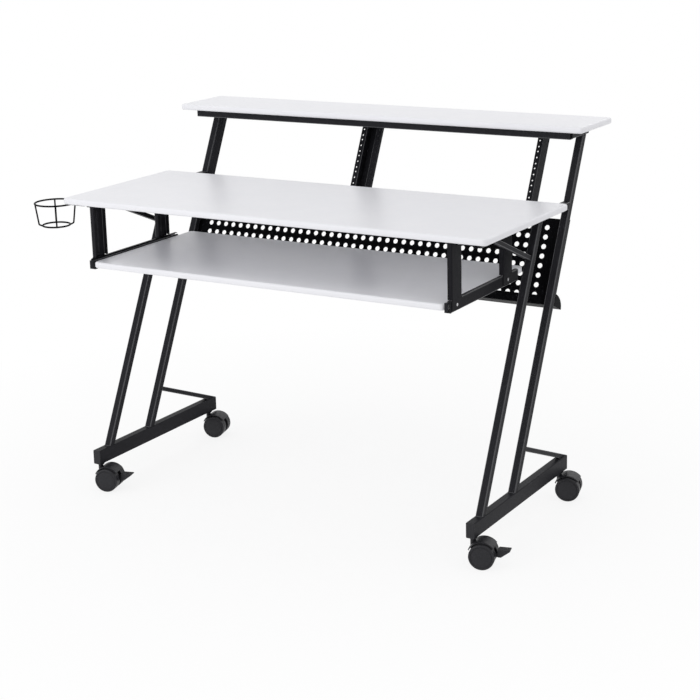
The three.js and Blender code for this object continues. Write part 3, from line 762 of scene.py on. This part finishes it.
def make_base(side, sign):
    x = sign * frame_x
    middle = base_underside + base_height / 2
    front = base_front + cap_thickness + seat_gap
    rear = base_rear - cap_thickness - seat_gap
    add_tube(f"{side}_base_tube", BASE_SECTION, (x, front, middle), (x, rear, middle), (BACK, BACK),
             f"{side}_base_profile", fold_highlights=False)
    corners = ((x - base_width / 2, base_underside), (x + base_width / 2, base_top))
    for name, low, edges in (("front", base_front, (cap_outer_round, cap_inner_round)),
                             ("rear", base_rear - cap_thickness, (cap_inner_round, cap_outer_round))):
        cap = bmesh.new()
        soft_slab(cap, corners, leg_corner, low, low + cap_thickness, edges, ALONG_Y, 4)
        add_piece(f"{side}_{name}_plug", cap, PLASTIC, "frame", [f"{side}_{name}_end_cap"])


def make_braces_and_arms(side, sign):
    x = sign * frame_x
    brace_top = base_top + brace_rise
    strut_low = arm_foot - desk_strut_drop
    arm_middle = arm_top - leg_tube / 2
    shelf_arm_middle = shelf_arm_top - leg_tube / 2
    beside = leg_half_run + seat_gap
    for name, section, start, end, normals in (
            ("brace", STRUT_SECTION, (leg_at(rear_foot, brace_top) + beside, brace_top),
             (base_rear - brace_foot_inset, base_top + seat_gap), (LEG_FACE, UP)),
            ("desktop_strut", STRUT_SECTION, (leg_at(front_foot, strut_low) - beside, strut_low),
             (arm_front + desk_strut_inset, arm_foot), (LEG_FACE, UP)),
            ("desktop_arm", LEG_SECTION, (arm_front, arm_middle),
             (leg_at(rear_foot, arm_middle) - beside, arm_middle), (BACK, LEG_FACE)),
            ("shelf_arm", LEG_SECTION, (bar_front + leg_tube + seat_gap, shelf_arm_middle),
             (shelf_arm_rear, shelf_arm_middle), (BACK, BACK))):
        add_tube(f"{side}_{name}", section, (x, *start), (x, *end), normals)


def make_shelf_bar():
    half = frame_x + leg_tube / 2
    place = (bar_front + leg_tube / 2, shelf_arm_top - leg_tube / 2)
    add_tube("shelf_bar", LEG_SECTION, (-half, *place), (half, *place), (ACROSS, ACROSS))


def weld_line(shape, x, half, y, z, radius=weld_radius):
    """A rippled bead of weld along X."""
    ripples = max(int(2 * half / weld_pitch), 2)
    shares = [index / (ripples * 4) for index in range(ripples * 4 + 1)]
    swell = [1 - weld_swell_share + weld_swell_share * math.cos(share * ripples * 2 * math.pi)
             for share in shares]
    path = [(x - half + 2 * half * share, y, z) for share in shares]
    wire(shape, path, [radius * size for size in swell], segments=10)


def make_welds(side, sign):
    x = sign * frame_x
    half = leg_tube / 2 - leg_corner
    arm_low = arm_top - leg_tube
    shelf_arm_low = shelf_arm_top - leg_tube
    shape = bmesh.new()
    for foot, z in ((front_foot, base_top), (rear_foot, base_top), (front_foot, arm_low),
                    (rear_foot, shelf_arm_low)):
        for edge in (-leg_half_run, leg_half_run):
            weld_line(shape, x, half, leg_at(foot, z) + edge, z)
    weld_line(shape, x, half, leg_at(rear_foot, arm_low) - leg_half_run, arm_low)
    brace_weld = base_rear - brace_foot_inset - brace_weld_setback
    weld_line(shape, x, strut_tube / 2 - strut_corner, brace_weld, base_top, brace_weld_radius)
    # The weld beads take the edge highlight colour, a painted highlight
    add_piece(f"{side}_frame_welds", shape, EDGE_HIGHLIGHT, "frame")


# Back panel, cable tray and equipment rails

def make_back_panel():
    columns = [(index - (peg_columns - 1) / 2) * peg_pitch for index in range(peg_columns)]
    rows = [panel_low + peg_first_rise + index * peg_pitch for index in range(peg_rows)]
    shape = bmesh.new()
    corners = ((-panel_half, panel_low), (panel_half, panel_top))
    holed_plate(shape, corners, columns, rows, peg_pitch / 2, peg_radius, (panel_front, panel_back),
                SLOPE @ ALONG_Y)
    add_piece("perforated_panel", shape, SHEET, "frame", ["back_panel"])


def make_cable_tray():
    front = panel_back + seat_gap
    back = front + trough_depth
    middle = sheet / 2
    line = [(front + middle, panel_low + trough_seam), (front + middle, panel_low + middle),
            (back - middle, panel_low + middle), (back - middle, panel_low + trough_lip)]
    shape = bmesh.new()
    prism(shape, folded(line, sheet, trough_bend), sheet - panel_half, panel_half - sheet,
          SLOPE @ ALONG_X)
    ear = [(front, panel_low)]
    ear += [(front + trough_depth * v, panel_low + trough_ear * u) for u, v in quarter(14)]
    for low in (-panel_half, panel_half - sheet):
        prism(shape, ear, low, low + sheet, SLOPE @ ALONG_X)
    add_piece("folded_cable_tray", shape, SHEET, "frame", ["cable_tray"], trough_edge)


def rail_top(depth):
    return (shelf_arm_top - base_top + depth * math.sin(lean)) / math.cos(lean)


def make_rail(node, fold, inward, returned=False):
    """One rail: holed flange, web with a cut corner, tab under the shelf, foot on the panel.
    A middle rail also has a flange that closes the gap to its neighbour."""
    front, back = rail_front, rail_front + rail_depth
    corner_back = back - rail_chamfer
    foot = panel_top - rail_foot
    foot_back = panel_front - seat_gap
    flange_top = rail_top(front)
    rows = [flange_top - rail_hole_margin]
    for hole in range(rack_holes - 1):
        rows.append(rows[-1] - (rack_narrow if hole % 3 == 2 else rack_wide))
    mirror = SLOPE @ Matrix.Translation((fold, 0, 0)) @ mirrored(inward)
    shape = bmesh.new()
    holed_plate(shape, ((rail_sheet, foot), (rail_flange, flange_top)), [rail_hole_line], rows,
                rack_hole_radius + rack_hole_rim, rack_hole_radius, (front, front + rail_sheet),
                mirror @ ALONG_Y)
    step = panel_top + seat_gap
    web = [(front + rail_seam, foot), (foot_back, foot), (foot_back, step), (back, step),
           (back, rail_top(back) - rail_notch),
           (corner_back, rail_top(corner_back) - rail_notch + rail_chamfer),
           (corner_back, rail_top(corner_back)), (front + rail_seam, rail_top(front + rail_seam))]
    prism(shape, web, 0, rail_sheet, mirror @ ALONG_X)
    half = rail_sheet / 2
    fold_line = [(half, front + rail_fold_reach), (half, front + half), (rail_fold_reach, front + half)]
    prism(shape, folded(fold_line, rail_sheet, rail_fold_bend, 5), foot, flange_top - rail_seam, mirror)
    tab = [(front, flange_top - rail_sheet), (corner_back, rail_top(corner_back) - rail_sheet),
           (corner_back, rail_top(corner_back)), (front, flange_top)]
    prism(shape, tab, 0, rail_tab, mirror @ ALONG_X)
    pad = rounded(rectangle((0, foot), (rail_flange, panel_top)), [0, rail_pad_corner, 0, 0])
    prism(shape, pad, foot_back - rail_sheet, foot_back, mirror @ ALONG_Y)
    if returned:
        closer_front = corner_back - rail_sheet
        closer = [(closer_front, step), (corner_back, step), (corner_back, rail_top(corner_back)),
                  (closer_front, rail_top(closer_front))]
        prism(shape, closer, (seat_gap - divider_gap) / 2, rail_sheet, mirror @ ALONG_X)
    add_piece(f"{node}_folded", shape, RAIL, "frame", [node])
    screw = bmesh.new()
    place = Matrix.Translation((rail_hole_line, foot_back - rail_sheet, foot + rail_screw_rise))
    pan_head(screw, mirror @ place @ Matrix.Rotation(math.pi / 2, 4, "X"))
    add_piece(f"{node}_screw", screw, ZINC, "frame")


def make_rails():
    left = -(frame_x - leg_tube / 2 - seat_gap)
    middle_left = left + 2 * rail_hole_line + rack_spacing
    middle_right = middle_left + divider_gap
    right = middle_right + 2 * rail_hole_line + rack_spacing
    make_rail("left_bay_outer_rail", left, 1)
    make_rail("left_bay_middle_rail", middle_left, -1, True)
    make_rail("right_bay_middle_rail", middle_right, 1, True)
    make_rail("right_bay_outer_rail", right, -1)


# Tray slides and hangers

def channel(web, tip, height):
    """A slide's section: a web at one X with two flanges towards the tip."""
    inward = math.copysign(slide_sheet / 2, tip - web)
    reach = (height - slide_sheet) / 2
    low, high = slide_middle - reach, slide_middle + reach
    line = [(tip, low), (web + inward, low), (web + inward, high), (tip, high)]
    return folded(line, slide_sheet, slide_bend)


def make_hangers(side, sign):
    mirror = mirrored(sign)
    face, top = hanger_face, arm_top
    back = face + hanger_sheet
    tip = back - hanger_flange
    middle = face + hanger_sheet / 2
    half = hanger_sheet / 2
    foot_end = back + hanger_foot
    foot_start = foot_end - hanger_foot_chamfer
    for name, front in zip(("front", "rear"), hanger_fronts):
        rear = front + hanger_width
        shape = bmesh.new()
        line = [(tip, front + half), (middle, front + half), (middle, rear - half), (tip, rear - half)]
        prism(shape, folded(line, hanger_sheet, hanger_bend), hanger_flange_foot, top, mirror)
        low = slide_middle - slide_height / 2 + hanger_lift
        blade = rounded(rectangle((front, low), (rear, hanger_flange_foot)), hanger_corners, 6)
        prism(shape, blade, face, back, mirror @ ALONG_X)
        foot = [(face, front), (foot_start, front), (foot_end, front + hanger_foot_chamfer),
                (foot_end, rear - hanger_foot_chamfer), (foot_start, rear), (face, rear)]
        prism(shape, rounded(foot, hanger_foot_corners), top - hanger_sheet, top, mirror)
        start = front + hanger_width / 2 - rib_half
        rib = [(face - v + rib_rise, start + u) for u, v in folded(rib_line, rib_sheet, rib_bend)]
        prism(shape, rib, hanger_flange_foot + rib_foot_gap, top - rib_top_gap, mirror)
        # Painted light and shade: the left hangers get the lighter steel coat with fold highlights, the
        # right ones the darker rail coat without
        paint = STEEL if side == "left" else RAIL
        add_piece(f"{side}_{name}_hanger_plate", shape, paint, "frame", [f"{side}_{name}_hanger"],
                  hanger_edge, fold_highlights=side == "left")


def make_slides(side, sign):
    """The runner on the hangers and the slide on the tray, each with its roller's pin."""
    mirror = mirrored(sign)
    pin_end = pin_end_gap + pin_end_chamfer
    low, high = slide_middle - slide_height / 2, slide_middle + slide_height / 2
    runner = bmesh.new()
    prism(runner, channel(slide_outer, slide_outer - outer_flange, slide_height),
          slide_front + runner_seam, slide_rear, mirror @ ALONG_Y)
    nose = rounded(rectangle((slide_front, low), (slide_front + runner_nose, high)),
                   [runner_nose_corner, 0, 0, runner_nose_corner], 8)
    prism(runner, nose, slide_outer - slide_sheet, slide_outer, mirror @ ALONG_X)
    axis = Matrix.Translation((0, slide_front + roller_inset, front_roller_z)) @ RIGHTWARD
    pin = [(0, slide_inner + pin_end_gap), (pin_end_radius, slide_inner + pin_end_gap),
           (pin_radius, slide_inner + pin_end), (pin_radius, slide_outer - pin_root)]
    lathe(runner, pin, mirror @ axis, pin_steps)
    add_piece(f"{side}_runner_profile", runner, RAIL, "frame", [f"{side}_fixed_runner"])
    low, high = slide_middle - inner_height / 2, slide_middle + inner_height / 2
    end = slide_rear - roller_inset - rear_roller_radius - roller_end_gap
    half = slide_sheet / 2
    slide = bmesh.new()
    prism(slide, channel(slide_inner, slide_inner + inner_flange, inner_height),
          tray["front"] + inner_setback, end, mirror @ ALONG_Y)
    web = rounded(rectangle((end - inner_overlap, low), (slide_rear, high)),
                  [0, inner_web_corner, inner_web_corner, 0], 6)
    prism(slide, web, slide_inner, slide_inner + slide_sheet, mirror @ ALONG_X)
    hook = [(slide_inner + half, tray["front"] + hook_reach), (slide_inner + half, tray["front"] + half),
            (slide_outer - slide_sheet, tray["front"] + half)]
    prism(slide, folded(hook, slide_sheet, hook_bend, 6), low, high, mirror)
    axis = Matrix.Translation((0, slide_rear - roller_inset, rear_roller_z)) @ RIGHTWARD
    pin = [(pin_radius, slide_inner + half), (pin_radius, slide_outer - pin_end),
           (pin_end_radius, slide_outer - pin_end_gap), (0, slide_outer - pin_end_gap)]
    lathe(slide, pin, mirror @ axis, pin_steps)
    add_piece(f"{side}_slide_profile", slide, STEEL, "tray", [f"{side}_moving_slide"])


def make_roller(side, name, sign, radius, y, z):
    half = roller_width / 2
    rim = radius - roller_rim
    floor = roller_recess - half
    profile = [(roller_bore, -half), (roller_hub, -half), (roller_hub + roller_slope, floor),
               (rim - roller_slope, floor), (rim, -half), (radius - roller_edge, -half),
               (radius, roller_edge - half)]
    profile += [(reach, -level) for reach, level in profile[::-1]]
    shape = bmesh.new()
    place = Matrix.Translation((sign * roller_x, y, z)) @ RIGHTWARD
    lathe(shape, profile, place, roller_steps, closed=True)
    node = f"{side}_{name}_roller"
    add_piece(f"{side}_{name}_nylon_roller", shape, NYLON, node, [node])


def make_tray_screws(side, sign):
    """The screws that hold the runners to the hangers and the hangers to the desktop."""
    shape = bmesh.new()
    mirror = mirrored(sign)
    for front in hanger_fronts:
        place = (hanger_face + hanger_sheet, front + hanger_width / 2, slide_middle + runner_screw_rise)
        pan_head(shape, mirror @ Matrix.Translation(place) @ RIGHTWARD, small_screw)
    for front in hanger_fronts:
        for along in foot_screw_places:
            place = (hanger_face + foot_screw_reach, front + along, arm_top - hanger_sheet)
            pan_head(shape, mirror @ Matrix.Translation(place) @ DOWNWARD)
    add_piece(f"{side}_tray_screws", shape, ZINC, "frame")


# Cup holder

def make_cup_holder():
    place = Matrix.Translation((*cup_centre, 0))
    shape = bmesh.new()
    for radius, height in ((cup_ring, cup_ring_z), (cup_foot_ring, cup_foot_z)):
        ring = [(u, v, height) for u, v in circle(radius, ring_steps)]
        wire(shape, ring, cup_wire, place, closed=True)
    line = [(cup_ring + u, cup_ring_z + v) for u, v in cup_upper_points]
    line += [(cup_foot_ring + u, cup_foot_z + v) for u, v in cup_lower_points]
    line = rounded(line, cup_bends, 6, closed=False)
    for upright in range(4):
        turn = place @ Matrix.Rotation(cup_turn + upright * math.pi / 2, 4, "Z")
        wire(shape, [(u, 0, v) for u, v in line], cup_upright_wire, turn)
    add_piece("cup_holder_wires", shape, SHEET, "frame", ["cup_holder"])
    strip = bmesh.new()
    low = arm_top - cup_strip_sheet
    half = cup_strip_width / 2
    outline = rectangle((cup_ring - cup_strip_inset, -half), (cup_ring + cup_strip_reach, half))
    prism(strip, rounded(outline, cup_strip_corner, 6), low, arm_top, place)
    add_piece("cup_holder_strip", strip, STEEL, "frame", (), cup_strip_edge)
    screws = bmesh.new()
    for reach in cup_screw_reaches:
        pan_head(screws, place @ Matrix.Translation((cup_ring + reach, 0, low)) @ DOWNWARD)
    add_piece("cup_holder_screws", screws, ZINC, "frame")


# Casters

def make_socket(name, stem):
    top = base_underside - seat_gap
    foot = top - socket_flange_height
    tip = top + socket_length
    profile = [(socket_bore, foot), (socket_flange - socket_edge, foot),
               (socket_flange, foot + socket_edge), (socket_flange, top), (socket_barrel, top),
               (socket_barrel, tip - socket_tip), (socket_barrel - socket_edge, tip), (socket_bore, tip)]
    shape = bmesh.new()
    lathe(shape, profile, stem, roller_steps, closed=True)
    add_piece(f"{name}_stem_socket", shape, PLASTIC, "frame", [f"{name}_caster_socket"])


def make_wheel(node, axle, sign):
    """A moulded wheel: crowned disc, rolled rim, grooved tread, and a hub in the hollow inner side."""
    centre = (wheel_outer - wheel_rim_drop - wheel_edge, wheel_radius - wheel_edge)
    profile = [(radius, wheel_outer - drop) for radius, drop in wheel_face_drops]
    profile += [(v, u) for u, v in arc(centre, wheel_edge, 0, math.pi / 2, 8)[1:]]
    for share in wheel_groove_shares:
        along = wheel_inner + (wheel_outer - wheel_inner) * share
        profile += [(wheel_radius - depth, along + level) for depth, level in wheel_groove_levels]
    profile += [(wheel_radius - inset, wheel_inner + rise) for inset, rise in wheel_skirt_insets]
    profile += [(radius, wheel_inner + rise) for radius, rise in wheel_hub_rises]
    shape = bmesh.new()
    lathe(shape, profile, axle @ Matrix.Scale(sign, 4, (0, 0, 1)), wheel_steps)
    add_piece(f"{node}_moulding", shape, PLASTIC, node, [node])


def make_housing(name, stem, axle):
    """The fender over the wheels, the web below it, the axle and the stem."""
    outer = arc((0, 0), hood_outer, hood_start, hood_end, hood_steps)
    inner = arc((0, 0), hood_inner, hood_start, hood_end, hood_steps)
    half = hood_width / 2
    shape = bmesh.new()
    crown = []
    for level, shrink in ((-half, hood_shrink), (hood_round - half, 0), (half - hood_round, 0),
                          (half, hood_shrink)):
        scale = (hood_outer - shrink) / hood_outer
        ring = [(u * scale, v * scale) for u, v in outer] + inner[::-1]
        crown.append(add_level(shape, ring, level, axle))
    skin(shape, crown)
    web = arc((0, 0), hood_inner + hood_overlap, hood_start, hood_end, hood_steps)
    web += arc((0, 0), hub_radius, math.pi, 2 * math.pi, 12)
    prism(shape, web, -hood_web_half, hood_web_half, axle)
    shoulder = axle_half - axle_end_chamfer
    rod = [(0, -axle_half), (axle_end_radius, -axle_half), (axle_radius, -shoulder),
           (axle_radius, shoulder), (axle_end_radius, axle_half), (0, axle_half)]
    lathe(shape, rod, axle, small_steps)
    top = base_underside - 2 * seat_gap - socket_flange_height
    lathe(shape, [(radius, top + rise) for radius, rise in stem_rises], stem, stem_steps)
    add_piece(f"{name}_caster_moulding", shape, PLASTIC, f"{name}_caster", [f"{name}_caster_housing"])


def make_lever(name, axle):
    """Two cheeks that grip the axle, and a ribbed pedal."""
    shape = bmesh.new()
    cheek = [(lever_root, -lever_root_half), (lever_root, lever_root_half)]
    cheek += arc((0, 0), lever_hub, lever_opening, 2 * math.pi - lever_opening, 24)
    near, far = lever_cheek_levels
    prism(shape, cheek, -far, -near, axle)
    prism(shape, cheek, near, far, axle)
    prism(shape, rounded(pedal_outline, pedal_corners, 4), -pedal_half, pedal_half, axle)
    for rib in range(pedal_ribs):
        start = pedal_rib_first + rib * pedal_rib_pitch
        outline = rectangle((start, pedal_rib_low), (start + pedal_rib_width, pedal_rib_high))
        prism(shape, rounded(outline, pedal_rib_corner, 3), -pedal_rib_half, pedal_rib_half, axle)
    node = f"{name}_brake_lever"
    add_piece(f"{name}_brake_pedal", shape, PLASTIC, node, [node], pedal_edge)


def make_casters(side, sign):
    """Each caster from its stem's axis, and from its axle with Z to the back and X along the trail."""
    for end, y in caster_places:
        name = f"{side}_{end}"
        stem = Matrix.Translation((sign * frame_x, y, 0)) @ Matrix.Rotation(caster_turn, 4, "Z")
        axle = stem @ Matrix.Translation((caster_trail, 0, wheel_radius)) @ ALONG_Y
        make_socket(name, stem)
        make_housing(name, stem, axle)
        make_wheel(f"{name}_near_wheel", axle, -1)
        make_wheel(f"{name}_far_wheel", axle, 1)
        if end == "front":
            make_lever(name, axle)


# The desk
make_boards()
make_shelf_bar()
make_back_panel()
make_cable_tray()
make_rails()
make_cup_holder()
for side, sign in SIDES:
    make_legs(side, sign)
    make_base(side, sign)
    make_braces_and_arms(side, sign)
    make_welds(side, sign)
    make_hangers(side, sign)
    make_slides(side, sign)
    make_roller(side, "front", sign, front_roller_radius, slide_front + roller_inset, front_roller_z)
    make_roller(side, "rear", sign, rear_roller_radius, slide_rear - roller_inset, rear_roller_z)
    make_tray_screws(side, sign)
    make_casters(side, sign)


# Floor, light and camera; the floor's fade and the lamps are in metres

floor_middle = 2000
floor_reach = 9000
floor_glow = 0.84
floor_fade_start = 0.5
floor_fade_end = 1.6
world_colour = (0.99, 0.99, 1, 1)
world_strength = 0.76
lamp_aim = (0, 0, 0.6)
lamps = (("overhead_softbox", (-0.6, -0.6, 3.4), (3.0, 2.4), 12),
         ("front_softbox", (-1.6, -3.6, 1.1), (2.6, 1.2), 30),
         ("right_softbox", (3.6, 1.2, 1.9), (1.6, 2.2), 3),
         ("rear_softbox", (0.6, 3.2, 2.4), (2.6, 1.6), 8))


def seen_rays(tree):
    """One for the rays of the camera, of gloss and of glass, which show the background."""
    path = add_node(tree, "LightPath")
    total = path.outputs["Is Camera Ray"]
    for name in ("Is Glossy Ray", "Is Transmission Ray"):
        either = add_node(tree, "Math", operation="MAXIMUM")
        tree.links.new(total, either.inputs[0])
        tree.links.new(path.outputs[name], either.inputs[1])
        total = either.outputs[0]
    return total


def mix_shaders(tree, share, first, second, output):
    """Sends two shaders to an output: the first where the share is 0, the second where it is 1."""
    mix = add_node(tree, "MixShader")
    for index, source in enumerate((share, first.outputs[0], second.outputs[0])):
        tree.links.new(source, mix.inputs[index])
    tree.links.new(mix.outputs[0], tree.nodes[output].inputs["Surface"])


def make_floor():
    """A pale floor that keeps the desk's soft shadow and fades to plain white further out."""
    shape = bmesh.new()
    lathe(shape, [(0, 0), (floor_middle, 0), (floor_reach, 0)], ALONG_Z, ring_steps)
    shape.transform(TO_FRAME)
    mesh = bpy.data.meshes.new("floor")
    shape.to_mesh(mesh)
    shape.free()
    floor = put("floor", mesh)
    made, tree, shader = node_material("floor_paint", (0.9, 0.9, 0.9), 0.8, 0.1)
    glow = add_node(tree, "Emission", [("Strength", 1.0)])
    place = add_node(tree, "TexCoord")
    length = add_node(tree, "VectorMath", operation="LENGTH")
    seen = add_node(tree, "Math", operation="MULTIPLY")
    tree.links.new(place.outputs["Object"], length.inputs[0])
    fade = ramp(tree, length.outputs["Value"], floor_glow, 1.0, floor_fade_start, floor_fade_end)
    tree.links.new(seen_rays(tree), seen.inputs[0])
    tree.links.new(fade, seen.inputs[1])
    mix_shaders(tree, seen.outputs[0], shader, glow, "Material Output")
    mesh.materials.append(made)


def make_world():
    """A soft light from all around that looks plain white itself."""
    world = bpy.data.worlds.new("studio")
    world.use_nodes = True
    bpy.context.scene.world = world
    tree = world.node_tree
    light = tree.nodes["Background"]
    light.inputs["Color"].default_value = world_colour
    light.inputs["Strength"].default_value = world_strength
    white = add_node(tree, "Background", (("Color", (1, 1, 1, 1)), ("Strength", 1.0)))
    mix_shaders(tree, seen_rays(tree), light, white, "World Output")


def make_lights():
    for name, place, size, power in lamps:
        data = bpy.data.lights.new(name, "AREA")
        data.shape = "RECTANGLE"
        data.size, data.size_y = size
        data.energy = power
        lamp = put(name, data)
        lamp.location = place
        lamp.rotation_euler = (Vector(lamp_aim) - Vector(place)).to_track_quat("-Z", "Y").to_euler()


camera_place = (2187.87, -3195.96, 1565.25)
camera_yaw = math.radians(31.24)
camera_pitch = math.radians(14.36)
camera_roll = math.radians(-1.46)
focal_pixels = 1668.75
picture_pixels = 700
aim_drop_pixels = 50
sensor = 36


def make_camera():
    """The camera fitted to the photograph: place, yaw to the left, pitch down, and roll."""
    data = bpy.data.cameras.new("camera")
    data.sensor_width = sensor
    data.lens = focal_pixels / picture_pixels * sensor
    data.shift_y = -aim_drop_pixels / picture_pixels
    data.clip_start, data.clip_end = 0.05, 60
    camera = put("camera", data)
    camera.matrix_world = (Matrix.Translation(TO_FRAME @ Vector(camera_place))
                           @ Matrix.Rotation(camera_yaw, 4, "Z")
                           @ Matrix.Rotation(math.pi / 2 - camera_pitch, 4, "X")
                           @ Matrix.Rotation(camera_roll, 4, "Z"))
    bpy.context.scene.camera = camera


make_floor()
make_world()
make_lights()
make_camera()
bpy.context.scene.view_settings.view_transform = "Standard"
